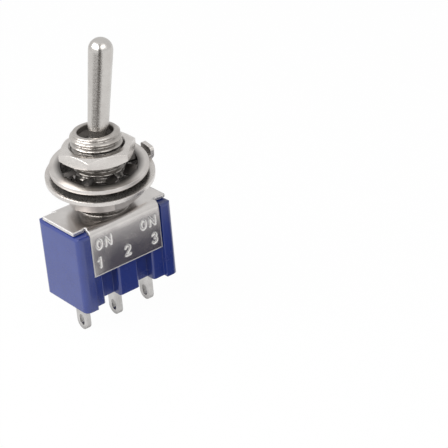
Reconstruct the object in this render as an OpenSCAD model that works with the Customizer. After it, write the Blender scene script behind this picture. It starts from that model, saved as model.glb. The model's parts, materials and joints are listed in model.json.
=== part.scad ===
// Miniature panel-mount toggle switch, one pole, two positions. Millimetres.
// Origin: on the bushing's axis, in the top face of the bracket plate. +Z runs out
// through the bushing, X is the lever's throw, Y crosses it. The lever is drawn
// thrown to +X, with the rocker tipped on to the contact at -X.

/* [Case] */
// Length of the moulded case, along the throw
case_l = 13.5; // [13:0.1:14.2]
// Width of the case over its end ribs
case_w = 8.2; // [8:0.1:8.8]
// Height of the case below the bracket plate
case_h = 9.8; // [9.4:0.1:10.6]
// Radius of the case's upright corners
corner_r = 0.75; // [0.4:0.05:1.1]
// Radius round the top edge of the case
rim_r = 0.35; // [0.2:0.05:0.5]
// Drop of the case's rim below the land that carries the plate
rim_drop = 0.15; // [0.05:0.05:0.25]
// Thickness of the case floor that holds the terminals
floor_t = 1.6; // [1.5:0.1:2]
// Width of the contact chamber inside the case
chamber_w = 3.1; // [2.8:0.1:3.2]
// Width of each upright groove in the long sides
groove_w = 2.1; // [1.4:0.1:2.3]
// Depth of each upright groove
groove_depth = 1.3; // [0.9:0.1:1.3]
// Distance from the middle of the case to a groove's centre
groove_x = 2.5; // [2.3:0.1:2.7]
// Radius on the outer edges of the grooves
groove_edge_r = 0.35; // [0.1:0.05:0.45]
// Width of the blind pockets between the terminals
pocket_w = 1.3; // [0.9:0.1:1.5]
// Depth of the blind pockets
pocket_depth = 0.9; // [0.4:0.1:1]

/* [Bracket] */
// Thickness of the folded sheet
sheet_t = 0.4; // [0.3:0.05:0.5]
// Outside radius of the bends
bend_r = 0.9; // [0.7:0.1:1.1]
// Distance from the plate's ends back to the ends of the case
plate_set_back = 0.15; // [0.05:0.05:0.4]
// Distance from the skirts' faces back to the faces of the end ribs
skirt_set_back = 0.21; // [0.05:0.01:0.4]
// Length of the folded skirts
skirt_l = 9.9; // [9.4:0.1:10]
// Height from the plate's top to the skirts' lower edge
skirt_h = 6.1; // [5.4:0.1:6.6]
// Width of the tongues that reach over the end ribs
tongue_w = 6; // [5.4:0.1:6.2]
// Width of the four crimped tabs
tab_w = 0.75; // [0.5:0.05:1]
// Reach of each crimped tab into its groove
tab_reach = 0.7; // [0.4:0.05:0.8]
// Drop of the tabs' underside below the skirts' lower edge
tab_drop = 0.1; // [0.05:0.05:0.4]

/* [Bushing] */
// Outside diameter of the thread
thread_d = 6; // [5.8:0.1:6.2]
// Height of the bushing above the bracket plate
bushing_h = 9.6; // [9.3:0.1:10.4]
// Height of the chamfer at the bushing's end
lead_h = 0.4; // [0.2:0.05:0.5]
// Diameter of the open mouth
mouth_d = 4.2; // [4:0.1:4.4]
// Depth of the open mouth
mouth_depth = 0.7; // [0.4:0.1:0.8]
// Diameter of the throat that holds the ball down
throat_d = 3; // [2.9:0.05:3.1]
// Width of the keyway along the thread
keyway_w = 1; // [0.8:0.1:1.2]
// Depth of the keyway
keyway_depth = 0.4; // [0.3:0.05:0.4]

/* [Lever] */
// Throw of the lever to each side of upright, degrees
throw = 9.8; // [8:0.1:10.5]
// Depth of the pivot below the bushing's mouth
pivot_depth = 2.6; // [2.4:0.1:2.8]
// Length of the lever beyond the mouth
lever_reach = 10.7; // [7:0.1:14]
// Diameter of the lever's domed tip
tip_d = 2.84; // [2.5:0.02:3.2]
// Diameter of the lever where it leaves the mouth
shank_d = 2.4; // [2.1:0.05:2.5]
// Diameter of the neck above the ball
neck_d = 2; // [1.8:0.05:2.1]
// Diameter of the ball
ball_d = 3.9; // [3.7:0.05:3.9]
// Diameter of the tail below the ball
tail_d = 1.8; // [1.7:0.05:1.85]
// Diameter of the cross pin through the ball
pin_d = 0.6; // [0.4:0.05:0.7]
// Diameter of the sprung plunger
plunger_d = 1; // [0.9:0.05:1.05]
// Length of the plunger's straight part
plunger_l = 2.4; // [2:0.1:3]
// Length of the plunger that stands out of the tail
plunger_out = 0.9; // [0.7:0.1:1]
// Wire diameter of the plunger's spring
wire_d = 0.14; // [0.1:0.02:0.18]
// Free turns of the plunger's spring
turns = 7; // [5:1:9]

/* [Contacts] */
// Spacing of the three terminals
pitch = 4.7; // [4.6:0.05:4.8]
// Width of a terminal lug
lug_w = 2; // [1.6:0.1:2.2]
// Thickness of a terminal lug
lug_t = 0.6; // [0.4:0.05:0.8]
// Length of a lug below the case
lug_l = 4.4; // [3.6:0.1:6]
// Width of the wire slot in a lug
eye_w = 0.9; // [0.6:0.05:1]
// Length of the wire slot in a lug
eye_l = 1.4; // [1.1:0.1:1.8]
// Height of the rocker's pivot above the case floor
rocker_h = 2.6; // [2.4:0.1:3]
// Thickness of the rocker strip
rocker_t = 0.35; // [0.25:0.05:0.45]
// Width of the rocker strip
rocker_w = 2.2; // [1.6:0.1:2.3]
// Tilt of the rocker to each side of level, degrees
tilt = 8; // [6:0.5:8.5]
// Slope of the rocker's inner wings, degrees
wing_slope = 16; // [14:0.5:17]
// Diameter of the contact buttons and pads
button_d = 1.1; // [0.9:0.05:1.2]
// Height of the contact buttons and pads
button_h = 0.25; // [0.15:0.05:0.3]

/* [Hardware] */
// Width of the hexagon nuts across flats
nut_af = 8; // [7.6:0.1:8.4]
// Thickness of the upper nut
top_nut_h = 1.5; // [1.3:0.1:1.8]
// Height of the upper nut's underside above the plate
top_nut_z = 6.4; // [6:0.1:6.5]
// Thickness of the lower nut
low_nut_h = 2.25; // [1.8:0.05:2.4]
// Height of the lower nut's underside above the plate
low_nut_z = 1.05; // [0.6:0.05:1.2]
// Outside diameter of the locating washer
loc_d = 12.7; // [12.4:0.1:13.4]
// Thickness of the locating washer
loc_t = 0.5; // [0.4:0.05:0.6]
// Width of the locating washer's upturned tab
loc_tab_w = 2; // [1.6:0.1:2.4]
// Height of the upturned tab above the washer
loc_tab_h = 1; // [0.8:0.1:1.9]
// Gap between the washer's rim and the tab's inner face
loc_tab_out = 0.1; // [0:0.05:0.4]
// Outside diameter of the lock washer
lock_d = 11.5; // [10.4:0.1:11.8]
// Width of the lock washer's plain rim
lock_rim = 1.3; // [0.9:0.05:1.4]
// Thickness of the lock washer
lock_t = 0.5; // [0.4:0.05:0.6]
// Number of teeth inside the lock washer
teeth = 8; // [6:1:9]
// Width of each tooth
tooth_w = 1.3; // [0.9:0.05:1.4]
// Twist of each tooth out of the washer's plane, degrees
tooth_twist = 32; // [20:1:38]
// Lean of the two loose washers between the nuts, degrees
washer_lean = 7.8; // [0:0.2:8]

/* [Hidden] */
$fn = 64;

// clearances
seat_gap = 0.02;     // between pieces fixed to each other
slide_gap = 0.04;    // round a pin, ball or plunger that moves
swing_gap = 0.12;    // between the swinging tail and the bushing
contact_gap = 0.04;  // between a closed button and its pad
thread_gap = 0.03;   // between a nut and the thread's crest
edge_gap = 0.15;     // between a skirt's cut edge and the rib beside it
over = 1;            // how far a cutting tool runs past a face

// levels
case_top = -sheet_t;
case_bottom = case_top - case_h;
chamber_floor = case_bottom + floor_t;
pivot_z = bushing_h - pivot_depth;
rocker_z = chamber_floor + rocker_h;

// case
plate_l = case_l - 2 * plate_set_back;
skirt_y = case_w / 2 - skirt_set_back;              // outer face of the skirts
side_y = skirt_y - sheet_t - seat_gap;              // long face behind the skirts
rib_w = (case_l - skirt_l) / 2 - edge_gap;
rim_z = case_top - rim_drop;
land_in = 0.15;                                     // plate's overhang round its land
bend_in = bend_r - sheet_t;
tab_low = -skirt_h - tab_drop;
groove_top = tab_low + sheet_t + seat_gap;          // ledge that the tabs grip
chamber_end = 0.35;                                 // room beyond the end pads
chamber_l = 2 * (pitch + button_d / 2 + chamber_end);
seal_side = 0.6;                                    // resin on each flat of a lug
seal_end = 0.75;                                    // resin at each edge of a lug
seal_w = lug_t + 2 * seal_side;
seal_l = lug_w + 2 * seal_end;
seal_depth = 0.8;
seal_sink = 0.12;

// bushing
thread_r = thread_d / 2;
stake_r = thread_r - 0.2;
flange_r = thread_r + 0.1;
flange_t = 0.4;
socket_r = ball_d / 2 + slide_gap;
throat_r = throat_d / 2;
seat_z = pivot_z + sqrt(socket_r * socket_r - throat_r * throat_r);
tail_swing_r = (pivot_z + sheet_t + flange_t) * tan(throw) + tail_d / 2 / cos(throw) + swing_gap;
pin_half = ball_d / 2 + 0.35;
root_w = 0.6;                                       // breadth of a thread root at the crest
root_depth = 0.38;
wall_in_nut = 0.1;                                  // how far the free thread's wall runs on inside the upper nut
root_z = top_nut_z + top_nut_h - wall_in_nut - root_w;

// lever, measured from the pivot along its own axis
mouth_s = pivot_depth / cos(throw);
tip_s = mouth_s + lever_reach;
tip_r = tip_d / 2;
plunger_r = plunger_d / 2;
wing_drop = 0.2;                                    // wings' lower face below the rocker's pivot
knuckle_r = 0.5;
knee_x = 2.8;                                       // where a wing bends into its contact arm
arm_x = pitch + button_d / 2 + 0.1;
tip_gap = 0.05;                                     // least gap between plunger and rocker
// the plunger's reach is the longest that clears the rocker's wing over the whole throw
function wing_at(a) = wing_slope - tilt * a / throw;
function reach_at(a) =
    ((pivot_z - rocker_z) * cos(wing_at(a)) - (rocker_t - wing_drop) - plunger_r - tip_gap)
    / cos(a - wing_at(a));
plunger_s = min([for (i = [0:20]) reach_at(throw * i / 20)]);
tail_s = plunger_s + plunger_r - plunger_out;
plunger_top_s = plunger_s - plunger_l;
spring_l = 3.4;
bore_r = plunger_r + slide_gap;

// contacts
wing_low = -wing_drop / cos(wing_slope);
knee_low = wing_low + knee_x * tan(wing_slope);
arm_low = knee_low + (arm_x - knee_x) * tan(tilt);
arm_face = rocker_z - knee_x * sin(tilt) + knee_low * cos(tilt);
pad_top = arm_face - button_h - contact_gap;
end_blade_top = pad_top - button_h;
mid_blade_top = rocker_z - wing_drop - 0.12;

// hardware
loc_z = low_nut_z + low_nut_h;
lock_tooth_rise = tooth_w / 2 * sin(tooth_twist) + lock_t / 2 * cos(tooth_twist);
lock_root_r = lock_d / 2 - lock_rim;
tooth_bite = 0.12;                                  // how far a tooth runs into the rim
tooth_reach = lock_root_r + 2 * tooth_bite;
nut_flat_r = nut_af / 2 * 0.975;                    // rim of a nut's flat face, inside its chamfer

// the two washers lean together until one rests on the lower nut and one meets the upper nut
lean_room = top_nut_z - loc_z - loc_t - 2 * lock_tooth_rise - 3 * seat_gap;
lean = min(washer_lean, asin(max(0, lean_room / (nut_flat_r + tooth_reach))));
lean_to = 67;                                       // side of the bushing they rise to
loc_mid = loc_z + seat_gap + nut_flat_r * tan(lean) + loc_t / 2 / cos(lean);
lock_mid = top_nut_z - seat_gap - tooth_reach * sin(lean) - lock_tooth_rise * cos(lean);
bore_clear_r = thread_r + thread_gap;
loc_turn = -3;                                      // play of the key in the keyway, degrees
top_nut_turn = 41.7;
low_nut_turn = 11.3;
lock_turn = 31.7;

nickel = [0.78, 0.76, 0.74];
blue = [0.16, 0.22, 0.55];

// a rectangle with four true arcs for corners
module rounded_rect(l, w, r) {
    square([l - 2 * r, w], center = true);
    square([l, w - 2 * r], center = true);
    for (x = [-1, 1], y = [-1, 1])
        translate([x * (l / 2 - r), y * (w / 2 - r)]) circle(r);
}

// a slot with round ends, longest along Y
module stadium(w, l) {
    square([w, l - w], center = true);
    for (y = [-1, 1]) translate([0, y * (l - w) / 2]) circle(w / 2);
}

// what is cut away to round an edge that runs along X at +Y
module edge_round(l, y, z, r) {
    difference() {
        translate([-l / 2, y - r, z - r]) cube([l, r + over, r + 2 * over]);
        translate([0, y - r, z - r]) rotate([0, 90, 0]) cylinder(h = l + over, r = r, center = true);
    }
}

// outline of the case: round-cornered, with its long sides set back between the ribs
module case_outline() {
    difference() {
        rounded_rect(case_l, case_w, corner_r);
        for (y = [-1, 1])
            translate([0, y * (side_y + over / 2)])
                square([case_l - 2 * rib_w, over], center = true);
    }
}

// one groove with rounded outer edges, open towards +Y
module groove_outline() {
    translate([-groove_w / 2, side_y - groove_depth]) square([groove_w, groove_depth + over]);
    for (x = [-1, 1])
        difference() {
            translate([x * (groove_w / 2 + groove_edge_r / 2), side_y + over / 2 - groove_edge_r / 2])
                square([groove_edge_r, groove_edge_r + over], center = true);
            translate([x * (groove_w / 2 + groove_edge_r), side_y - groove_edge_r]) circle(groove_edge_r);
        }
}

module case() {
    color(blue) difference() {
        translate([0, 0, case_bottom]) linear_extrude(height = case_h) case_outline();
        // grooves, closed above the crimped tabs
        for (m = [0, 1], x = [-1, 1])
            mirror([0, m, 0]) translate([x * groove_x, 0, case_bottom - over])
                linear_extrude(height = groove_top - case_bottom + over) groove_outline();
        // rim set below the land that carries the plate
        translate([0, 0, rim_z]) linear_extrude(height = rim_drop + over) difference() {
            square([case_l + over, case_w + over], center = true);
            square([plate_l - 2 * land_in, tongue_w - 2 * land_in], center = true);
        }
        // rounded shoulders under the bends and round the rim
        for (m = [0, 1]) {
            mirror([0, m, 0]) edge_round(case_l - 2 * rib_w, side_y, case_top, bend_in + seat_gap);
            mirror([0, m, 0]) edge_round(case_l + over, case_w / 2, rim_z, rim_r);
            mirror([m, 0, 0]) rotate([0, 0, -90]) edge_round(case_w + over, case_l / 2, rim_z, rim_r);
        }
        // contact chamber and the seat for the bushing's flange
        translate([-chamber_l / 2, -chamber_w / 2, chamber_floor])
            cube([chamber_l, chamber_w, case_top - chamber_floor + over]);
        translate([0, 0, case_top - flange_t - seat_gap]) cylinder(h = flange_t + over, r = flange_r + seat_gap);
        // terminal slots, their sealing wells and the blind pockets between them
        for (x = [-1, 0, 1]) translate([x * pitch, 0, case_bottom]) {
            translate([0, 0, floor_t / 2])
                cube([lug_t + 2 * seat_gap, lug_w + 2 * seat_gap, floor_t + over], center = true);
            translate([0, 0, -over]) linear_extrude(height = seal_depth + over) stadium(seal_w, seal_l);
        }
        for (x = [-1, 1])
            translate([x * pitch / 2, 0, case_bottom - over])
                linear_extrude(height = pocket_depth + over) stadium(pocket_w, seal_l);
    }
}

// cross-section of the folded sheet, in Y and Z
module fold_section() {
    for (m = [0, 1]) mirror([m, 0]) {
        translate([0, -sheet_t]) square([skirt_y - bend_r, sheet_t]);
        translate([skirt_y - sheet_t, -skirt_h]) square([sheet_t, skirt_h - bend_r]);
        intersection() {
            translate([skirt_y - bend_r, -bend_r]) difference() {
                circle(bend_r);
                circle(bend_in);
            }
            translate([skirt_y - bend_r, -bend_r]) square(bend_r);
        }
    }
}

// cross-section of a crimped tab, turned in below the skirt at +Y
module tab_section() {
    translate([skirt_y - sheet_t, tab_low + sheet_t]) intersection() {
        circle(sheet_t);
        translate([0, -sheet_t]) square(sheet_t);
    }
    translate([side_y - tab_reach, tab_low]) square([tab_reach + seat_gap, sheet_t]);
}

module frame_bracket() {
    relief_r = 0.16;
    color(nickel) difference() {
        union() {
            rotate([90, 0, 90]) linear_extrude(height = skirt_l, center = true) fold_section();
            translate([-plate_l / 2, -tongue_w / 2, -sheet_t]) cube([plate_l, tongue_w, sheet_t]);
            for (m = [0, 1], x = [-1, 1])
                mirror([0, m, 0]) translate([x * groove_x, 0, 0])
                    rotate([90, 0, 90]) linear_extrude(height = tab_w, center = true) tab_section();
        }
        translate([0, 0, -sheet_t - over]) cylinder(h = sheet_t + 2 * over, r = stake_r + seat_gap);
        // bend reliefs where the skirts leave the tongues
        for (x = [-1, 1], y = [-1, 1])
            translate([x * (skirt_l / 2 + seat_gap), y * tongue_w / 2, -sheet_t - over])
                cylinder(h = sheet_t + 2 * over, r = relief_r);
    }
}

module bushing() {
    ball_bore_z = 1.6;
    color(nickel) difference() {
        rotate_extrude() polygon([
            [throat_r, seat_z + 0.12], [mouth_d / 2, bushing_h - mouth_depth],
            [mouth_d / 2, bushing_h - 0.12], [mouth_d / 2 + 0.12, bushing_h],
            [thread_r - lead_h, bushing_h], [thread_r, bushing_h - lead_h],
            [thread_r, root_z + root_w], [thread_r - root_depth, root_z + root_w / 2], [thread_r, root_z],
            [thread_r, 0], [stake_r, 0], [stake_r, -sheet_t],
            [flange_r, -sheet_t], [flange_r, -sheet_t - flange_t],
            [tail_swing_r, -sheet_t - flange_t], [socket_r, ball_bore_z],
            [socket_r, pivot_z], [throat_r, pivot_z]
        ]);
        // socket over the ball
        translate([0, 0, pivot_z]) sphere(socket_r);
        // keyway along the thread
        translate([thread_r - keyway_depth, -keyway_w / 2, -seat_gap])
            cube([keyway_depth + over, keyway_w, bushing_h + over]);
        // slots that let the cross pin in from below and hold the swing to one plane
        translate([0, 0, pivot_z]) rotate([90, 0, 0])
            cylinder(h = 2 * (pin_half + slide_gap), r = pin_d / 2 + slide_gap, center = true);
        translate([-pin_d / 2 - slide_gap, -pin_half - slide_gap, -sheet_t - flange_t - over])
            cube([pin_d + 2 * slide_gap, 2 * (pin_half + slide_gap), pivot_z + sheet_t + flange_t + over]);
    }
}

// chamfered hexagon nut standing on z = 0
module nut(h) {
    corner = nut_af / 2 / cos(30);
    rise = (corner - nut_flat_r) * tan(30);
    sink = 0.25;
    difference() {
        intersection() {
            cylinder(h = h, r = corner, $fn = 6);
            rotate_extrude() polygon([
                [0, 0], [nut_flat_r, 0], [corner + seat_gap, rise],
                [corner + seat_gap, h - rise], [nut_flat_r, h], [0, h]
            ]);
        }
        rotate_extrude() polygon([
            [0, -over], [bore_clear_r + sink, -over], [bore_clear_r + sink, 0], [bore_clear_r, sink],
            [bore_clear_r, h - sink], [bore_clear_r + sink, h], [bore_clear_r + sink, h + over], [0, h + over]
        ]);
    }
}

module bottom_nut() {
    color(nickel) translate([0, 0, low_nut_z]) rotate([0, 0, low_nut_turn]) nut(low_nut_h);
}

module top_nut() {
    color(nickel) translate([0, 0, top_nut_z]) rotate([0, 0, top_nut_turn]) nut(top_nut_h);
}

// a loose washer's place: turned about the bushing, then leaning with it to one side
module leaning(middle, turn) {
    translate([0, 0, middle]) rotate([0, 0, lean_to]) rotate([0, -lean, 0])
        rotate([0, 0, turn - lean_to]) children();
}

// keyed washer whose tab stands up outside its rim, to enter a small hole in the panel
module locating_washer() {
    rim = loc_d / 2;
    hole_r = thread_r + 0.15;
    key_in = thread_r - keyway_depth + 0.1;
    key_half = keyway_w / 2 - 0.12;
    tab_in = rim + loc_tab_out;
    tab_top = loc_t + loc_tab_h;
    tab_half = loc_tab_w / 2;
    tab_round = loc_tab_w / 5;
    root = 0.6;                                     // how far the ear and the key run into the ring
    notch = 0.24;
    color(nickel) leaning(loc_mid, loc_turn) translate([0, 0, -loc_t / 2]) {
        difference() {
            cylinder(h = loc_t, r = rim);
            translate([0, 0, -over]) cylinder(h = loc_t + 2 * over, r = hole_r);
            // reliefs at both sides of the ear
            for (y = [-1, 1])
                translate([rim - notch, y * (tab_half + notch / 2) - notch / 2, -over])
                    cube([loc_d, notch, loc_t + 2 * over]);
        }
        translate([key_in, -key_half, 0]) cube([hole_r + root - key_in, 2 * key_half, loc_t]);
        // ear turned up into the tab, with its top corners rounded
        intersection() {
            rotate([90, 0, 0]) linear_extrude(height = loc_tab_w, center = true) {
                translate([rim - root, 0]) square([root + loc_tab_out, loc_t]);
                translate([tab_in, loc_t]) square([loc_t, loc_tab_h]);
                translate([tab_in, loc_t]) intersection() {
                    circle(loc_t);
                    translate([0, -loc_t]) square(loc_t);
                }
            }
            rotate([90, 0, 90]) linear_extrude(height = loc_d) {
                translate([-tab_half, 0]) square([loc_tab_w, tab_top - tab_round]);
                translate([-tab_half + tab_round, 0]) square([loc_tab_w - 2 * tab_round, tab_top]);
                for (y = [-1, 1]) translate([y * (tab_half - tab_round), tab_top - tab_round]) circle(tab_round);
            }
        }
    }
}

// lock washer with twisted teeth inside its rim
module lock_washer() {
    tip_in_r = thread_r + 0.2;
    color(nickel) leaning(lock_mid, lock_turn) difference() {
        union() {
            difference() {
                cylinder(h = lock_t, r = lock_d / 2, center = true);
                cylinder(h = lock_t + over, r = lock_root_r, center = true);
            }
            for (i = [0:teeth - 1])
                rotate([0, 0, i * 360 / teeth]) translate([(tip_in_r + lock_root_r) / 2, 0, 0])
                    rotate([tooth_twist, 0, 0])
                        cube([lock_root_r - tip_in_r + 2 * tooth_bite, tooth_w, lock_t], center = true);
        }
        cylinder(h = 4 * lock_t + over, r = tip_in_r, center = true);
    }
}

// flat blade in the YZ plane from the chamber down to a round-ended lug with a wire slot
module terminal(x, top) {
    lug_end = case_bottom - lug_l;
    eye_z = lug_end + lug_w / 2;
    translate([x, 0, 0]) rotate([90, 0, 90]) linear_extrude(height = lug_t, center = true) difference() {
        union() {
            translate([-lug_w / 2, lug_end + lug_w / 2]) square([lug_w, top - lug_end - lug_w / 2]);
            translate([0, lug_end + lug_w / 2]) circle(lug_w / 2);
        }
        translate([0, eye_z + (eye_l - eye_w) / 2]) stadium(eye_w, eye_l);
    }
}

module terminal_left() {
    color(nickel) terminal(-pitch, end_blade_top);
}

module terminal_common() {
    color(nickel) difference() {
        terminal(0, mid_blade_top);
        translate([0, 0, rocker_z]) rotate([90, 0, 0])
            cylinder(h = lug_w + over, r = knuckle_r + slide_gap, center = true);
    }
}

module terminal_right() {
    color(nickel) terminal(pitch, end_blade_top);
}

// resin that closes a well round its lug
module seal(x) {
    color([0.35, 0.05, 0.07]) translate([x, 0, case_bottom + seal_sink]) difference() {
        linear_extrude(height = seal_depth - seal_sink) stadium(seal_w, seal_l);
        cube([lug_t, lug_w, 2 * seal_depth], center = true);
    }
}

module seal_left() seal(-pitch);
module seal_common() seal(0);
module seal_right() seal(pitch);

module pad(x) {
    color("gainsboro") translate([x, 0, end_blade_top]) cylinder(h = button_h, r = button_d / 2);
}

module pad_left() pad(-pitch);
module pad_right() pad(pitch);

// places what is drawn in the rocker's own frame, tipped towards -X
module on_rocker() {
    translate([0, 0, rocker_z]) rotate([0, -tilt, 0]) children();
}

// strip bent to a shallow V, with a knuckle that sits in the common terminal
module rocker() {
    up = rocker_t / cos(wing_slope);
    arm_up = rocker_t / cos(tilt);
    color([0.72, 0.45, 0.2]) on_rocker() rotate([90, 0, 0])
        linear_extrude(height = rocker_w, center = true) difference() {
            union() {
                circle(knuckle_r);
                polygon([
                    [0, wing_low], [knee_x, knee_low], [arm_x, arm_low],
                    [arm_x, arm_low + arm_up], [knee_x, knee_low + up], [0, wing_low + up],
                    [-knee_x, knee_low + up], [-arm_x, arm_low + arm_up],
                    [-arm_x, arm_low], [-knee_x, knee_low]
                ]);
            }
            polygon([
                [0, wing_low + up], [knee_x, knee_low + up], [knee_x, knee_low + up + over],
                [-knee_x, knee_low + up + over], [-knee_x, knee_low + up]
            ]);
        }
}

// contact button under one arm of the rocker: side -1 or 1
module rocker_button(side) {
    color("gainsboro") on_rocker()
        translate([side * pitch, 0, knee_low + (pitch - knee_x) * tan(tilt)]) rotate([0, -side * tilt, 0])
            translate([0, 0, -button_h]) cylinder(h = button_h, r = button_d / 2);
}

module rocker_button_left() rocker_button(-1);
module rocker_button_right() rocker_button(1);

// places what is drawn in the lever's own frame, thrown towards +X
module on_lever() {
    translate([0, 0, pivot_z]) rotate([0, throw, 0]) children();
}

module lever() {
    neck_top = mouth_s - mouth_depth;
    color(nickel) on_lever() difference() {
        union() {
            translate([0, 0, tip_s - tip_r]) sphere(tip_r);
            translate([0, 0, mouth_s]) cylinder(h = tip_s - tip_r - mouth_s, r1 = shank_d / 2, r2 = tip_r);
            translate([0, 0, neck_top]) cylinder(h = mouth_s - neck_top, r1 = neck_d / 2, r2 = shank_d / 2);
            cylinder(h = neck_top, r = neck_d / 2);
            sphere(ball_d / 2);
            translate([0, 0, -tail_s]) cylinder(h = tail_s, r = tail_d / 2);
        }
        translate([0, 0, -tail_s - over]) cylinder(h = tail_s + over - plunger_top_s + spring_l, r = bore_r);
        rotate([90, 0, 0]) cylinder(h = ball_d + over, r = pin_d / 2 + 0.01, center = true);
    }
}

module pivot_pin() {
    color("silver") on_lever() rotate([90, 0, 0]) cylinder(h = 2 * pin_half, r = pin_d / 2, center = true);
}

module plunger() {
    color([0.12, 0.12, 0.13]) on_lever() {
        translate([0, 0, -plunger_s]) sphere(plunger_r);
        translate([0, 0, -plunger_s]) cylinder(h = plunger_l, r = plunger_r);
    }
}

// a wire swept along a helix, between the plunger and the end of its bore
module plunger_spring() {
    wire_r = wire_d / 2;
    coil_r = bore_r - slide_gap - wire_r;
    sides = 8;
    per_turn = 16;
    steps = turns * per_turn;
    rise = spring_l - wire_d - 2 * seat_gap;
    slope = atan2(rise / turns, 2 * PI * coil_r);
    function ring_point(i, j) =
        let (a = 360 * i / per_turn, b = 360 * j / sides,
             out = coil_r + wire_r * cos(b), side = wire_r * sin(b))
        [out * cos(a) + side * sin(slope) * sin(a),
         out * sin(a) - side * sin(slope) * cos(a),
         rise * i / steps + side * cos(slope)];
    points = [for (i = [0:steps], j = [0:sides - 1]) ring_point(i, j)];
    walls = [for (i = [0:steps - 1], j = [0:sides - 1])
        [i * sides + j, i * sides + (j + 1) % sides, (i + 1) * sides + (j + 1) % sides, (i + 1) * sides + j]];
    ends = [[for (j = [sides - 1:-1:0]) j], [for (j = [0:sides - 1]) steps * sides + j]];
    color("dimgray") on_lever() translate([0, 0, -plunger_top_s + seat_gap + wire_r])
        polyhedron(points = points, faces = concat(walls, ends), convexity = 8);
}

case();
frame_bracket();
bushing();
bottom_nut();
locating_washer();
lock_washer();
top_nut();
terminal_left();
terminal_common();
terminal_right();
seal_left();
seal_common();
seal_right();
pad_left();
pad_right();
rocker();
rocker_button_left();
rocker_button_right();
lever();
pivot_pin();
plunger();
plunger_spring();
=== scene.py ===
"""Looks for a miniature toggle switch round its CAD frame.

The script makes the camera, every material, the thread's turns, the stamped marks, the poured resin and
the studio. Lengths are millimetres of the row frame and angles are degrees, unless a name says otherwise.
"""
import json
import math

import bmesh
import bpy
from mathutils import Matrix, Vector, noise

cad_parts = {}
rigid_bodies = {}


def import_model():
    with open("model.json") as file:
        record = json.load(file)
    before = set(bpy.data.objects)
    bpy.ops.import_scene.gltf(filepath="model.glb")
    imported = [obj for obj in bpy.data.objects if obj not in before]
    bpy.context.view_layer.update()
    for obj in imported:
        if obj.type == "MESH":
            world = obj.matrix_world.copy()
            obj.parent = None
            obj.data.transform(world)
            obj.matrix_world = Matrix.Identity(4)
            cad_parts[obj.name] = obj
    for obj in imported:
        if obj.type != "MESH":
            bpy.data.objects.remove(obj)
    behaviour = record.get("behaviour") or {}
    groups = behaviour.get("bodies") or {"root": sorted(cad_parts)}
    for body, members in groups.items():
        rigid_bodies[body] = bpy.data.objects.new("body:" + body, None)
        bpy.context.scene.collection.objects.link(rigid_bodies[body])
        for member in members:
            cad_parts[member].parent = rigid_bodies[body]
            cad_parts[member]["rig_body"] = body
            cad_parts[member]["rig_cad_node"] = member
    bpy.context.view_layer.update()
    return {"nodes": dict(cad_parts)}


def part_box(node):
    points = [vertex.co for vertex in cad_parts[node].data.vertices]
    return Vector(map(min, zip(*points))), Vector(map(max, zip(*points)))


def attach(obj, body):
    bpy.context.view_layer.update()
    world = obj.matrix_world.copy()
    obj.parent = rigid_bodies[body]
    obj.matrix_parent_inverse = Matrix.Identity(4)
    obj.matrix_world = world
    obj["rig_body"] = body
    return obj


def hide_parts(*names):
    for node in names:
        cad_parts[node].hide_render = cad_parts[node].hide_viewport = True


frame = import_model()

MM = 0.001  # in metres
FULL_TURN = 2 * math.pi  # in radians


# ---------------------------------------------------------------- camera
# The photograph's viewpoint, solved from the switch's own corners.
FRAME_PX, FOCAL_PX = 448, 1533.197
AZIMUTH, ELEVATION, ROLL = -38.274, 28.14, -4.541
DISTANCE = 178.04
AIM_X, AIM_Y = 13.94, -2.189  # how far right of and above the origin the camera aims
SENSOR = 36.0
CLIP_START_M, CLIP_END_M = 0.01, 10


def bearing(offset, elevation, distance):
    """A point round the switch, at an angle to the right of the camera's own azimuth."""
    a, e = math.radians(AZIMUTH + offset), math.radians(elevation)
    return Vector((math.sin(a) * math.cos(e), -math.cos(a) * math.cos(e), math.sin(e))) * distance


def make_camera():
    a, r = math.radians(AZIMUTH), math.radians(ROLL)
    back = bearing(0, ELEVATION, 1)
    right = Vector((math.cos(a), math.sin(a), 0))
    up = back.cross(right)
    x_axis = math.cos(r) * right + math.sin(r) * up
    y_axis = -math.sin(r) * right + math.cos(r) * up
    data = bpy.data.cameras.new("camera")
    data.sensor_width = SENSOR
    data.lens = FOCAL_PX / FRAME_PX * SENSOR
    data.clip_start, data.clip_end = CLIP_START_M, CLIP_END_M
    cam = bpy.data.objects.new("camera", data)
    bpy.context.scene.collection.objects.link(cam)
    turn = Matrix((x_axis, y_axis, back)).transposed().to_4x4()
    place = (x_axis * AIM_X + y_axis * AIM_Y + back * DISTANCE) * MM
    cam.matrix_world = Matrix.Translation(place) @ turn
    bpy.context.scene.camera = cam


make_camera()


# ---------------------------------------------------------------- materials
def srgb(r, g, b):
    """Linear colour from 0-255 values."""
    def lin(v):
        v /= 255
        return v / 12.92 if v <= 0.04045 else ((v + 0.055) / 1.055) ** 2.4
    return (lin(r), lin(g), lin(b), 1)


EDGE_MASK, THIN_EDGE_MASK = (0.98, 0.75), (0.997, 0.93)  # cosines of the rounding, from untouched to full wear and painted highlight
NARROW_GAPS, WIDE_GAPS = (1.6, 0.2, 0.85), (3.0, 0.3, 0.6)  # reach, and how open a shut and an open gap are


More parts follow.
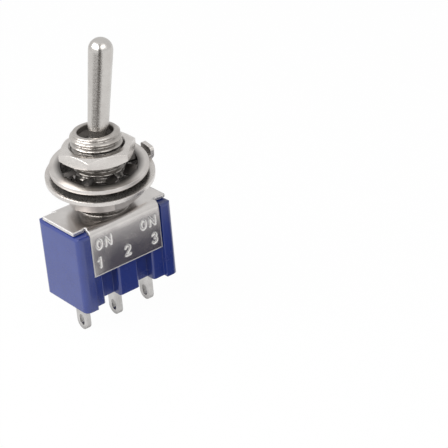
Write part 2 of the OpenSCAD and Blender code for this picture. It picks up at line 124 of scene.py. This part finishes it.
class Shader:
    """A Principled material with a few shorthand nodes; its coordinates are millimetres of the row frame."""

    def __init__(self, name):
        self.mat = bpy.data.materials.new(name)
        self.mat.use_nodes = True
        self.tree = self.mat.node_tree
        self.bsdf = self.tree.nodes["Principled BSDF"]
        coord = self.add("ShaderNodeTexCoord")
        self.mm = self.add("ShaderNodeMapping")
        self.mm.inputs["Scale"].default_value = (1 / MM,) * 3
        self.link(coord.outputs["Object"], self.mm.inputs["Vector"])

    def add(self, kind, **props):
        node = self.tree.nodes.new(kind)
        for k, v in props.items():
            setattr(node, k, v)
        return node

    def link(self, a, b):
        self.tree.links.new(a, b)

    def set(self, **sockets):
        """Sets the shader's own sockets; an underscore stands for a space in a socket's name."""
        for k, v in sockets.items():
            self.bsdf.inputs[k.replace("_", " ")].default_value = v

    def noise(self, per_mm, detail=3, rough=0.55, stretch=(1, 1, 1), tilt=(0, 0, 0)):
        """Noise value; stretch above 1 packs it closer along that axis, and tilt turns it, in radians."""
        turn = self.add("ShaderNodeMapping")
        turn.inputs["Rotation"].default_value = tilt
        turn.inputs["Scale"].default_value = stretch
        self.link(self.mm.outputs[0], turn.inputs["Vector"])
        tex = self.add("ShaderNodeTexNoise")
        tex.inputs["Scale"].default_value = per_mm
        tex.inputs["Detail"].default_value = detail
        tex.inputs["Roughness"].default_value = rough
        self.link(turn.outputs[0], tex.inputs["Vector"])
        return tex.outputs["Fac"]

    def from_axis(self):
        """Distance from the bushing's axis."""
        flat = self.add("ShaderNodeVectorMath", operation="MULTIPLY")
        flat.inputs[1].default_value = (1, 1, 0)
        self.link(self.mm.outputs[0], flat.inputs[0])
        length = self.add("ShaderNodeVectorMath", operation="LENGTH")
        self.link(flat.outputs[0], length.inputs[0])
        return length.outputs["Value"]

    def remap(self, value, lo, hi, out_lo=0, out_hi=1):
        node = self.add("ShaderNodeMapRange")
        for i, v in enumerate((lo, hi, out_lo, out_hi)):
            node.inputs[i + 1].default_value = v
        self.link(value, node.inputs[0])
        return node.outputs[0]

    def math(self, kind, a, b):
        """A sum or product of two values; each is a number or a socket."""
        node = self.add("ShaderNodeMath", operation=kind)
        for socket, v in zip(node.inputs, (a, b)):
            if isinstance(v, (int, float)):
                socket.default_value = v
            else:
                self.link(v, socket)
        return node.outputs[0]

    def blend(self, fac, a, b):
        """Colour between a and b; each is a colour or a socket. Inputs 6 and 7 are the Mix node's colours."""
        node = self.add("ShaderNodeMix", data_type="RGBA")
        for socket, v in zip((node.inputs["Factor"], node.inputs[6], node.inputs[7]), (fac, a, b)):
            if isinstance(v, tuple):
                socket.default_value = v
            else:
                self.link(v, socket)
        return node.outputs[2]

    def edges(self, radius, mask=EDGE_MASK):
        """Rounded normal, and how much wear and painted highlight the corner gets."""
        bevel = self.add("ShaderNodeBevel", samples=6)
        bevel.inputs["Radius"].default_value = radius * MM
        true = self.add("ShaderNodeNewGeometry")
        dot = self.add("ShaderNodeVectorMath", operation="DOT_PRODUCT")
        self.link(bevel.outputs[0], dot.inputs[0])
        self.link(true.outputs["Normal"], dot.inputs[1])
        return bevel.outputs[0], self.remap(dot.outputs["Value"], *mask)

    def crevices(self, floor, reach, shut, open_at):
        """How open the place is, from floor in a shut gap to 1 in the open."""
        node = self.add("ShaderNodeAmbientOcclusion", samples=8)
        node.inputs["Distance"].default_value = reach * MM
        return self.remap(node.outputs["AO"], shut, open_at, floor, 1)

    def bump(self, height, depth, normal=None):
        node = self.add("ShaderNodeBump")
        node.inputs["Distance"].default_value = depth * MM
        node.inputs["Strength"].default_value = 1
        self.link(height, node.inputs["Height"])
        if normal is not None:
            self.link(normal, node.inputs["Normal"])
        return node.outputs[0]

    def out(self, colour, rough, normal):
        for value, name in ((colour, "Base Color"), (rough, "Roughness"), (normal, "Normal")):
            self.link(value, self.bsdf.inputs[name])
        return self.mat


# Painted highlight colours: the first lightens corners, partly as real wear, the second lines a sheet's rims.
EDGE_WEAR_AND_HIGHLIGHT, PAINTED_RIM_HIGHLIGHT = srgb(236, 233, 229), srgb(246, 245, 244)
# Painted shade colours: the first for a ring under the top nut, the second for gaps and crevices.
PAINTED_NUT_SHADE, PAINTED_GAP_SHADE = srgb(98, 95, 93), srgb(44, 40, 37)
NUT_SHADE_FADE = 0.7  # the width over which the painted shade under the nut fades out
METAL_IN_GAPS = 0.85  # how metallic the painted shade in a gap is


def nickel(name, colour, dull, rough, edge=0.06, lines=None, tilt=(0, 0, 0), grain=0.004, gap_floor=0.25,
           gaps=NARROW_GAPS, nut_shade_r=None, rim=0):
    """Plated metal: cloudy colour, uneven gloss, fine pits, painted shade in its gaps, and tool lines where
    it was turned.

    edge is the radius of its corners, lightened by wear and a painted highlight, lines and tilt stretch and
    turn the tool marks, grain is the relief's depth, core the radius inside which a ring is painted with the
    shade under the top nut, and rim how strongly a painted white highlight lines its edges.
    """
    s = Shader(name)
    s.set(IOR=1.9)
    cloud = s.noise(per_mm=0.55, detail=4)
    fine = s.noise(per_mm=9, detail=4, rough=0.6)
    normal, wear_and_highlight = s.edges(edge, THIN_EDGE_MASK if rim else EDGE_MASK)
    tint = s.blend(s.remap(cloud, 0.35, 0.68), colour, dull)
    # Corners turn lighter: partly real wear, partly a painted highlight.
    tint = s.blend(s.math("MULTIPLY", wear_and_highlight, 0.45), tint, EDGE_WEAR_AND_HIGHLIGHT)
    # Painted shade: a ring is darkened inside core, where the top nut shades it.
    if nut_shade_r:
        tint = s.blend(s.remap(s.from_axis(), nut_shade_r, nut_shade_r + NUT_SHADE_FADE), PAINTED_NUT_SHADE, tint)
    # Painted shade: gaps turn dark and less metallic by how shut they are.
    opening = s.crevices(gap_floor, *gaps)
    tint = s.blend(opening, PAINTED_GAP_SHADE, tint)
    mirror = s.remap(opening, gap_floor, 1, METAL_IN_GAPS, 1)
    # rim paints a white highlight along the edges, and makes them less metallic there.
    if rim:
        rim_highlight = s.math("MULTIPLY", wear_and_highlight, rim)
        tint = s.blend(rim_highlight, tint, PAINTED_RIM_HIGHLIGHT)
        mirror = s.math("SUBTRACT", mirror, rim_highlight)
    s.link(mirror, s.bsdf.inputs["Metallic"])
    smear = s.remap(cloud, 0.3, 0.7, 0, 0.06)
    gloss = s.math("ADD", s.remap(fine, 0.3, 0.7, rough * 0.8, rough * 1.25), smear)
    waves = s.noise(per_mm=2.2, detail=2)
    height = s.math("ADD", s.math("MULTIPLY", fine, 0.6), s.math("MULTIPLY", waves, 1.2))
    if lines:
        marks = s.noise(per_mm=1, detail=3, rough=0.6, stretch=lines, tilt=tilt)
        height = s.math("ADD", height, s.math("MULTIPLY", marks, 0.9))
    return s.out(tint, gloss, s.bump(height, grain, normal))


def moulded(name, colour, deep, painted_edge_highlight, rough, grain, specular=0.5):
    """Moulded plastic: slightly uneven pigment, a fine skin and corners lightened by a painted highlight."""
    s = Shader(name)
    s.set(IOR=1.52, Specular_IOR_Level=specular)
    cloud, skin = s.noise(per_mm=0.5, detail=3), s.noise(per_mm=14, detail=3, rough=0.6)
    waves = s.noise(per_mm=1.5, detail=2)
    normal, wear_and_highlight = s.edges(radius=0.12)
    tint = s.blend(s.remap(cloud, 0.3, 0.7), colour, deep)
    # Corners turn lighter with a painted highlight.
    tint = s.blend(s.math("MULTIPLY", wear_and_highlight, 0.35), tint, painted_edge_highlight)
    smear = s.remap(cloud, 0.3, 0.7, 0, 0.05)
    gloss = s.math("ADD", s.remap(skin, 0.3, 0.7, rough * 0.85, rough * 1.15), smear)
    height = s.math("ADD", s.math("MULTIPLY", skin, 0.5), s.math("MULTIPLY", waves, 1.5))
    return s.out(tint, gloss, s.bump(height, grain, normal))


def poured(name):
    """Casting resin: cloudy dark red under a clear, gently rolling skin."""
    s = Shader(name)
    s.set(IOR=1.55, Coat_Weight=0.6, Coat_Roughness=0.06)
    cloud = s.noise(per_mm=1.1, detail=4, rough=0.6)
    ripple, fine = s.noise(per_mm=1.8, detail=3), s.noise(per_mm=8, detail=2)
    tint = s.blend(s.remap(cloud, 0.35, 0.65), srgb(112, 24, 28), srgb(66, 12, 18))
    height = s.math("ADD", ripple, s.math("MULTIPLY", fine, 0.15))
    return s.out(tint, s.remap(cloud, 0.3, 0.7, 0.12, 0.24), s.bump(height, depth=0.03))


LEVER_LEAN = math.radians(9.8)  # at rest, in radians

hardware = nickel("hardware_nickel", srgb(222, 218, 214), srgb(208, 203, 199), rough=0.24, edge=0.08,
                  gap_floor=0.6)
# Painted shade: the bottom nut's plating is a darker copy of the top nut's, which dims its reflections.
dimmed_low_nut = nickel("low_nut_dimmed_nickel", srgb(192, 186, 182), srgb(166, 160, 156), rough=0.32, edge=0.08,
                 grain=0.009, gap_floor=0.6)
# The lock washer gets painted shade under the top nut and in its wide gaps.
toothed = nickel("lock_washer_nickel", srgb(216, 212, 208), srgb(202, 197, 193), rough=0.3, edge=0.08,
                 gap_floor=0.2, gaps=WIDE_GAPS, nut_shade_r=4.6)
thread_metal = nickel("thread_nickel", srgb(198, 193, 188), srgb(174, 169, 164), rough=0.26, edge=0.03,
                      lines=(0.6, 0.6, 16))
mouth_metal = nickel("mouth_shadowed_nickel", srgb(136, 131, 127), srgb(114, 110, 106), rough=0.6, edge=0.02,
                     gap_floor=0.6)
# rim=1 paints a white highlight along the bracket's edges.
sheet = nickel("bracket_nickel", srgb(216, 212, 209), srgb(209, 205, 202), rough=0.19, edge=0.26,
               lines=(0.7, 9, 9), grain=0.0018, gap_floor=0.75, rim=1)
lever_metal = nickel("lever_nickel", srgb(207, 204, 200), srgb(194, 190, 186), rough=0.22, edge=0.02,
                     lines=(0.6, 0.6, 5), tilt=(0, LEVER_LEAN, 0), grain=0.008, gap_floor=0.85)
tinned = nickel("lug_tin", srgb(206, 204, 202), srgb(178, 176, 174), rough=0.3, edge=0.08, grain=0.012)
pin_steel = nickel("pin_steel", srgb(190, 190, 190), srgb(165, 165, 165), rough=0.25, edge=0.02)
spring_metal = nickel("spring_steel", srgb(150, 150, 152), srgb(120, 120, 122), rough=0.3, edge=0.01)
silver = nickel("contact_silver", srgb(232, 231, 228), srgb(214, 211, 205), rough=0.3, edge=0.02)
bronze = nickel("rocker_bronze", srgb(205, 160, 105), srgb(176, 130, 80), rough=0.3, edge=0.03,
                lines=(1, 12, 1))
# The third colour is a painted highlight on the case's corners.
blue = moulded("case_plastic", srgb(34, 54, 129), srgb(30, 48, 121), srgb(68, 88, 170), rough=0.22,
               grain=0.004, specular=0.84)
nylon = moulded("plunger_plastic", srgb(52, 52, 56), srgb(44, 44, 48), srgb(88, 88, 92), rough=0.45,
                grain=0.003)
resin = poured("seal_resin")


def dress(obj, *mats):
    obj.data.materials.clear()
    for mat in mats:
        obj.data.materials.append(mat)


NODE_LOOKS = {
    blue: ["case"],
    hardware: ["locating_washer", "top_nut"],
    dimmed_low_nut: ["bottom_nut"],
    toothed: ["lock_washer"],
    tinned: ["terminal_left", "terminal_common", "terminal_right"],
    silver: ["pad_left", "pad_right", "rocker_button_left", "rocker_button_right"],
    bronze: ["rocker"],
    lever_metal: ["lever"],
    pin_steel: ["pivot_pin"],
    spring_metal: ["plunger_spring"],
    nylon: ["plunger"],
}
for mat, names in NODE_LOOKS.items():
    for name in names:
        dress(frame["nodes"][name], mat)


# ---------------------------------------------------------------- meshes
def add_object(name, verts, faces, smooth=True):
    """A mesh object from points in millimetres."""
    mesh = bpy.data.meshes.new(name)
    mesh.from_pydata([tuple(v) for v in verts], [], faces)
    mesh.transform(Matrix.Scale(MM, 4))
    mesh.polygons.foreach_set("use_smooth", [smooth] * len(mesh.polygons))
    obj = bpy.data.objects.new(name, mesh)
    bpy.context.scene.collection.objects.link(obj)
    return obj


def apply_modifiers(obj):
    """Turns the object's modifiers into its mesh."""
    dg = bpy.context.evaluated_depsgraph_get()
    made = bpy.data.meshes.new_from_object(obj.evaluated_get(dg))
    obj.modifiers.clear()
    obj.data = made


def cut(obj, cutter):
    """Takes the cutter away from obj, and removes the cutter."""
    mod = obj.modifiers.new("cut", "BOOLEAN")
    mod.operation, mod.solver, mod.object = "DIFFERENCE", "EXACT", cutter
    apply_modifiers(obj)
    bpy.data.objects.remove(cutter)


def sharpen(obj, degrees):
    """Smooth faces that keep their real corners."""
    bm = bmesh.new()
    bm.from_mesh(obj.data)
    limit = math.radians(degrees)
    for f in bm.faces:
        f.smooth = True
    for e in bm.edges:
        e.smooth = len(e.link_faces) == 2 and e.calc_face_angle(0) < limit
    bm.to_mesh(obj.data)
    bm.free()


def block(name, lo, hi):
    """A plain cutting block between two corners."""
    xs, ys, zs = zip(lo, hi)
    verts = [(x, y, z) for x in xs for y in ys for z in zs]
    faces = [(0, 1, 3, 2), (4, 6, 7, 5), (0, 4, 5, 1), (2, 3, 7, 6), (0, 2, 6, 4), (1, 5, 7, 3)]
    return add_object(name, verts, faces, smooth=False)


def ring_faces(rings, count, flip=False):
    """Quads from each ring of points to the next, and from the last ring back to the first."""
    faces = []
    for i in range(rings):
        p, q = i * count, (i + 1) % rings * count
        for j in range(count):
            k = (j + 1) % count
            faces.append((p + j, q + j, q + k, p + k) if flip else (p + j, p + k, q + k, q + j))
    return faces


# ---------------------------------------------------------------- threaded bushing
CREST_R, PITCH, THREAD_DEPTH = 3.0, 0.75, 0.38
CREST_SHARE, FLANK_SHARE = 0.12, 0.72  # of the way from a crest's middle to a root's
THREAD_RUNOUT = 0.35  # the height over which the thread begins, above the plate
BUSHING_H, LEAD = 9.6, 0.4  # LEAD is the chamfer at the thread's free end
PIVOT_Z, SOCKET_R, THROAT_R, THROAT_H = 7.0, 1.99, 1.5, 0.12
TAIL_ROOM = [(2.44, -0.8), (SOCKET_R, 1.6)]  # each profile holds a radius and a height
MOUTH = [(2.1, 8.9), (2.1, 9.46), (2.13, 9.55), (2.22, BUSHING_H)]
STAKED_FOOT = [(2.8, 0.0), (2.8, -0.4), (3.1, -0.4), (3.1, -0.8)]
KEY_X, KEY_HALF = 2.6, 0.5  # the keyway's floor and half its width
PIN_SLOT_HALF, PIN_SLOT_REACH, PIN_SLOT_FLOOR = 0.34, 2.34, -2
COLUMNS, ROWS_PER_TURN, SOCKET_STEPS = 180, 12, 8
KEY_WALL = 1e-3  # half the angle that a keyway's wall takes, in radians
SHADOWED_R, LIP_H = 2.12, 0.12  # what lies inside this radius and below the lip is in the mouth's shadow


def thread_r(z, turn):
    """Radius of a helical thread with a narrow flat crest and root."""
    phase = (z / PITCH + turn) % 1.0
    ramp = abs(phase * 2 - 1)
    flat = min(1.0, max(0.0, (ramp - CREST_SHARE) / FLANK_SHARE))
    fade = min(1.0, max(0.0, z / THREAD_RUNOUT))
    return CREST_R - THREAD_DEPTH * flat * fade


def bushing_mesh():
    """Rings up the bore, over the lip, down the thread with its keyway, and round the staked foot."""
    key = math.asin(KEY_HALF / CREST_R)
    key_walls = (key, FULL_TURN - key)
    angles = sorted([FULL_TURN * i / COLUMNS for i in range(COLUMNS)]
                    + [wall + side for wall in key_walls for side in (-KEY_WALL, KEY_WALL)])

    def ring(r, z):
        return [(r * math.cos(a), r * math.sin(a), z) for a in angles]

    throat = math.acos(THROAT_R / SOCKET_R)
    throat_z = PIVOT_Z + math.sqrt(SOCKET_R ** 2 - THROAT_R ** 2) + THROAT_H
    socket = [(SOCKET_R * math.cos(t), PIVOT_Z + SOCKET_R * math.sin(t))
              for t in (throat * i / SOCKET_STEPS for i in range(SOCKET_STEPS + 1))]
    verts = []
    for r, z in TAIL_ROOM + socket + [(THROAT_R, throat_z)] + MOUTH:
        verts += ring(r, z)
    verts += ring(CREST_R - LEAD, BUSHING_H)
    rows = round(BUSHING_H / PITCH * ROWS_PER_TURN)
    for z in [BUSHING_H - PITCH / ROWS_PER_TURN * i for i in range(1, rows)] + [0.0]:
        lead_r = CREST_R - LEAD + (BUSHING_H - z)
        for a in angles:
            r = min(lead_r, thread_r(z, a / FULL_TURN))
            x, y = r * math.cos(a), r * math.sin(a)
            in_key = a < key_walls[0] or a > key_walls[1]
            verts.append((min(x, KEY_X) if in_key else x, y, z))
    for r, z in STAKED_FOOT:
        verts += ring(r, z)
    return verts, ring_faces(len(verts) // len(angles), len(angles))


bushing = add_object("threaded_bushing", *bushing_mesh())
pin_slot = block("pin_slot", (-PIN_SLOT_HALF, -PIN_SLOT_REACH, PIN_SLOT_FLOOR),
                 (PIN_SLOT_HALF, PIN_SLOT_REACH, PIVOT_Z))
cut(bushing, pin_slot)
sharpen(bushing, degrees=50)
dress(bushing, thread_metal, mouth_metal)
for face in bushing.data.polygons:
    in_bore = Vector(face.center[:2]).length < SHADOWED_R * MM
    face.material_index = 1 if in_bore and face.center.z < (BUSHING_H - LIP_H) * MM else 0
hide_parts("bushing")
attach(bushing, "housing")


# ---------------------------------------------------------------- stamped marks in the bracket
SKIRT_Y = -3.89
STROKE_HALF, STROKE_DEPTH = 0.13, 0.09
BALL_STEP, WELD_VOXEL = 0.03, 0.02
MARK_ROW, NUMBER_ROW = -2.17, -4.5
ON_H, O_W, N_W = 1.12, 0.68, 0.74
DIGIT_H, DIGIT_W = 1.2, 0.66


def arc(cx, cz, rx, rz, start, end, steps=24):
    turns = [math.radians(start + (end - start) * i / steps) for i in range(steps + 1)]
    return [(cx + rx * math.cos(t), cz + rz * math.sin(t)) for t in turns]


GLYPHS = {  # strokes on a box one unit wide and one unit high, centred on the origin
    "O": [arc(0, 0, 0.5, 0.5, 0, 360, 36)],
    "N": [[(-0.5, -0.5), (-0.5, 0.5), (0.5, -0.5), (0.5, 0.5)]],
    "1": [[(-0.38, 0.25), (0.05, 0.5), (0.05, -0.5)]],
    "2": [arc(0, 0.2, 0.47, 0.3, 165, -25) + [(-0.47, -0.5), (0.5, -0.5)]],
    "3": [arc(-0.04, 0.255, 0.42, 0.245, 155, -80) + arc(-0.04, -0.245, 0.5, 0.255, 80, -155)],
}
MARKS = [  # glyph, its middle's x and z, width and height; the second word was struck a little lower
    ("O", -3.83, MARK_ROW, O_W, ON_H), ("N", -2.54, MARK_ROW, N_W, ON_H),
    ("O", 2.54, MARK_ROW - 0.04, O_W, ON_H), ("N", 3.85, MARK_ROW - 0.02, N_W, ON_H),
    ("1", -3.95, NUMBER_ROW, DIGIT_W, DIGIT_H), ("2", 0.0, NUMBER_ROW, DIGIT_W, DIGIT_H),
    ("3", 3.95, NUMBER_ROW, DIGIT_W, DIGIT_H),
]


def stamp_cutter():
    """Every stroke as a row of overlapping balls, welded by a voxel remesh and squeezed to its depth."""
    bm = bmesh.new()
    for glyph, cx, cz, w, h in MARKS:
        for stroke in GLYPHS[glyph]:
            pts = [(cx + x * w, cz + z * h) for x, z in stroke]
            for (x0, z0), (x1, z1) in zip(pts, pts[1:]):
                steps = max(1, math.ceil(math.hypot(x1 - x0, z1 - z0) / BALL_STEP))
                for i in range(steps + 1):
                    t = i / steps
                    place = Matrix.Translation((x0 + (x1 - x0) * t, SKIRT_Y, z0 + (z1 - z0) * t))
                    bmesh.ops.create_icosphere(bm, subdivisions=2, radius=STROKE_HALF, matrix=place)
    mesh = bpy.data.meshes.new("stamp")
    bm.to_mesh(mesh)
    bm.free()
    obj = bpy.data.objects.new("stamp", mesh)
    bpy.context.scene.collection.objects.link(obj)
    mod = obj.modifiers.new("weld", "REMESH")
    mod.mode, mod.voxel_size = "VOXEL", WELD_VOXEL
    apply_modifiers(obj)
    squeeze = STROKE_DEPTH / STROKE_HALF
    for v in obj.data.vertices:
        v.co.y = SKIRT_Y + (v.co.y - SKIRT_Y) * squeeze
    obj.data.transform(Matrix.Scale(MM, 4))
    return obj


bracket = frame["nodes"]["frame_bracket"].copy()
bracket.data = bracket.data.copy()
bracket.name = "stamped_bracket"
bracket.parent = None
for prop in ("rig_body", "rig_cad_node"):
    del bracket[prop]
bpy.context.scene.collection.objects.link(bracket)
cut(bracket, stamp_cutter())
sharpen(bracket, degrees=35)
dress(bracket, sheet)
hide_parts("frame_bracket")
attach(bracket, "housing")


# ---------------------------------------------------------------- resin poured round the lugs
RESIN_RINGS, RESIN_COLUMNS = 14, 72
LUG_CLIMB, LUG_FADE = 0.42, 5.5  # how far the resin creeps up the lug, and how fast that dies away
WALL_CLIMB, WALL_FADE = 0.07, 9
LUMP, LUMPS_PER_MM = 0.05, 1.3
END_RAMP = 3  # how quickly the well's outline turns from its straight sides to its round ends


def poured_resin(side, seed):
    """A pool that climbs its lug and the wall of its well, filling the CAD seal's place."""
    node = "seal_" + side
    lo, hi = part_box(node)
    lug_lo, lug_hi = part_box("terminal_" + side)
    cx = (lo.x + hi.x) / 2 / MM
    half_w, half_l = (hi.x - lo.x) / 2 / MM, (hi.y - lo.y) / 2 / MM
    lug_w, lug_l = (lug_hi.x - lug_lo.x) / 2 / MM, (lug_hi.y - lug_lo.y) / 2 / MM
    level, top = lo.z / MM, hi.z / MM
    angles = [FULL_TURN * j / RESIN_COLUMNS for j in range(RESIN_COLUMNS)]

    def rim(t, grow):
        """A point on the well's outline (grow 1) or on the lug's (grow 0)."""
        c, s = math.cos(t), math.sin(t)
        straight = half_l - half_w
        outer = (half_w * c, half_w * s + math.copysign(straight, s) * min(1, abs(s) * END_RAMP))
        k = max(abs(c) / lug_w, abs(s) / lug_l)
        inner = (c / k, s / k)
        return tuple(i + (o - i) * grow for i, o in zip(inner, outer))

    verts = []
    for ring in range(RESIN_RINGS + 1):
        grow = ring / RESIN_RINGS
        climb = LUG_CLIMB * math.exp(-grow * LUG_FADE) + WALL_CLIMB * math.exp(-(1 - grow) * WALL_FADE)
        for t in angles:
            x, y = rim(t, grow)
            lump = LUMP * noise.noise(Vector((x * LUMPS_PER_MM + seed, y * LUMPS_PER_MM, seed)))
            verts.append((cx + x, y, level - climb - lump * math.sin(math.pi * grow)))
    for grow in (1, 0):
        verts += [(cx + x, y, top) for x, y in (rim(t, grow) for t in angles)]
    faces = ring_faces(len(verts) // RESIN_COLUMNS, RESIN_COLUMNS, flip=True)
    obj = add_object("resin_" + side, verts, faces)
    sharpen(obj, degrees=60)
    dress(obj, resin)
    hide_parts(node)
    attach(obj, "housing")


for side, seed in (("left", 1.7), ("common", 4.1), ("right", 7.9)):
    poured_resin(side, seed)


# ---------------------------------------------------------------- studio
FLOOR_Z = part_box("terminal_left")[0].z / MM
FLOOR_HALF, FLOOR_SHOWN_WHITE = 900, 0.98
SOFTBOX_DISTANCE, SOFTBOX_COLOUR = 260, (1.0, 0.99, 0.975)
WHITE = (1, 1, 1, 1)
TENT_FILL = 0.3  # how brightly the tent lights matt faces
TENT_IN_METAL = 0.82  # how bright reflections find the tent, which the camera sees as pure white


def seen_directly(tree, path):
    """1 for a ray from the camera or by way of gloss or glass, and 0 for one that lights a matt face."""
    seen = path.outputs["Is Camera Ray"]
    for other in ("Is Glossy Ray", "Is Transmission Ray"):
        add = tree.nodes.new("ShaderNodeMath")
        add.operation, add.use_clamp = "ADD", True
        tree.links.new(seen, add.inputs[0])
        tree.links.new(path.outputs[other], add.inputs[1])
        seen = add.outputs[0]
    return seen


def mix_into(tree, output, share, under, over):
    """Sends the shader under to the output, with that share of the shader over on it."""
    mix = tree.nodes.new("ShaderNodeMixShader")
    tree.links.new(share, mix.inputs["Fac"])
    tree.links.new(under.outputs[0], mix.inputs[1])
    tree.links.new(over.outputs[0], mix.inputs[2])
    tree.links.new(mix.outputs[0], tree.nodes[output].inputs["Surface"])


def stage_material(name, colour, shown=None):
    """A plain colour; shown adds the share of pure white that the camera and reflections see."""
    mat = bpy.data.materials.new(name)
    mat.use_nodes = True
    tree = mat.node_tree
    bsdf = tree.nodes["Principled BSDF"]
    bsdf.inputs["Base Color"].default_value = colour
    bsdf.inputs["Roughness"].default_value = 0.9
    bsdf.inputs["Specular IOR Level"].default_value = 0.1
    if shown:
        glow = tree.nodes.new("ShaderNodeEmission")
        path = tree.nodes.new("ShaderNodeLightPath")
        share = tree.nodes.new("ShaderNodeMath")
        share.operation = "MULTIPLY"
        share.inputs[1].default_value = shown
        tree.links.new(seen_directly(tree, path), share.inputs[0])
        mix_into(tree, "Material Output", share.outputs[0], bsdf, glow)
    return mat


def plane(name, centre, x_axis, y_axis, mat):
    """A flat sheet, given its centre and half-sides."""
    c, x, y = Vector(centre), Vector(x_axis), Vector(y_axis)
    obj = add_object(name, [c - x - y, c + x - y, c + x + y, c - x + y], [(0, 1, 2, 3)], smooth=False)
    dress(obj, mat)
    return obj


def card(name, centre, x_axis, y_axis, mat):
    """A sheet that only reflections see."""
    obj = plane(name, centre, x_axis, y_axis, mat)
    for ray in ("camera", "diffuse", "shadow", "transmission"):
        setattr(obj, "visible_" + ray, False)


def level_axes(offset):
    """Level directions away from the switch at that bearing, and across it."""
    away = bearing(offset, 0, 1)
    return away, Vector((-away.y, away.x, 0))


def softbox(name, offset, elevation, width, height, radiance):
    data = bpy.data.lights.new(name, "AREA")
    data.shape = "RECTANGLE"
    data.size, data.size_y = width * MM, height * MM
    data.energy = radiance * math.pi * data.size * data.size_y
    data.color = SOFTBOX_COLOUR
    obj = bpy.data.objects.new(name, data)
    bpy.context.scene.collection.objects.link(obj)
    place = bearing(offset, elevation, SOFTBOX_DISTANCE)
    obj.location = place * MM
    obj.rotation_mode = "QUATERNION"
    obj.rotation_quaternion = (-place).to_track_quat("-Z", "Y")


def make_tent():
    """A white world that the camera sees in full, reflections a little darker and matt faces dimly."""
    world = bpy.data.worlds.new("tent")
    bpy.context.scene.world = world
    world.use_nodes = True
    tree = world.node_tree
    fill = tree.nodes["Background"]
    fill.inputs["Color"].default_value = WHITE
    fill.inputs["Strength"].default_value = TENT_FILL
    white = tree.nodes.new("ShaderNodeBackground")
    white.inputs["Color"].default_value = WHITE
    path = tree.nodes.new("ShaderNodeLightPath")
    strength = tree.nodes.new("ShaderNodeMapRange")
    strength.inputs["To Min"].default_value = TENT_IN_METAL
    tree.links.new(path.outputs["Is Camera Ray"], strength.inputs["Value"])
    tree.links.new(strength.outputs[0], white.inputs["Strength"])
    mix_into(tree, "World Output", seen_directly(tree, path), fill, white)


plane("floor", (0, 0, FLOOR_Z), (FLOOR_HALF, 0, 0), (0, FLOOR_HALF, 0),
      stage_material("floor", srgb(240, 240, 240), FLOOR_SHOWN_WHITE))
softbox("left_softbox", offset=-58, elevation=43, width=300, height=150, radiance=5.8)
softbox("right_softbox", offset=38, elevation=44, width=210, height=160, radiance=1.4)

# The tent's gaps give the plating something dark to show. The side cards stand for the photograph's
# second switch, which darkens the lower part of the front skirt.
gap_black = stage_material("card_black", srgb(96, 91, 88))
gap_grey = stage_material("card_grey", srgb(84, 80, 77))
side_navy = stage_material("card_navy", srgb(50, 47, 66))
away, across = level_axes(-28)
card("tent_gap_floor", away * 120 + Vector((0, 0, FLOOR_Z + 0.2)), away * 52, across * 88, gap_grey)
away, across = level_axes(-5)
card("tent_gap", away * 150 + Vector((0, 0, 158)), across * 32, Vector((0, 0, 172)), gap_black)
card("side_card_near", (12.5, -11.9, FLOOR_Z + 0.4), (13, 0, 0), (0, 3.9, 0), side_navy)
card("side_card_far", (14.8, -19.9, FLOOR_Z + 0.4), (10.7, 0, 0), (0, 4.1, 0), side_navy)

make_tent()
bpy.context.scene.view_settings.view_transform = "Standard"
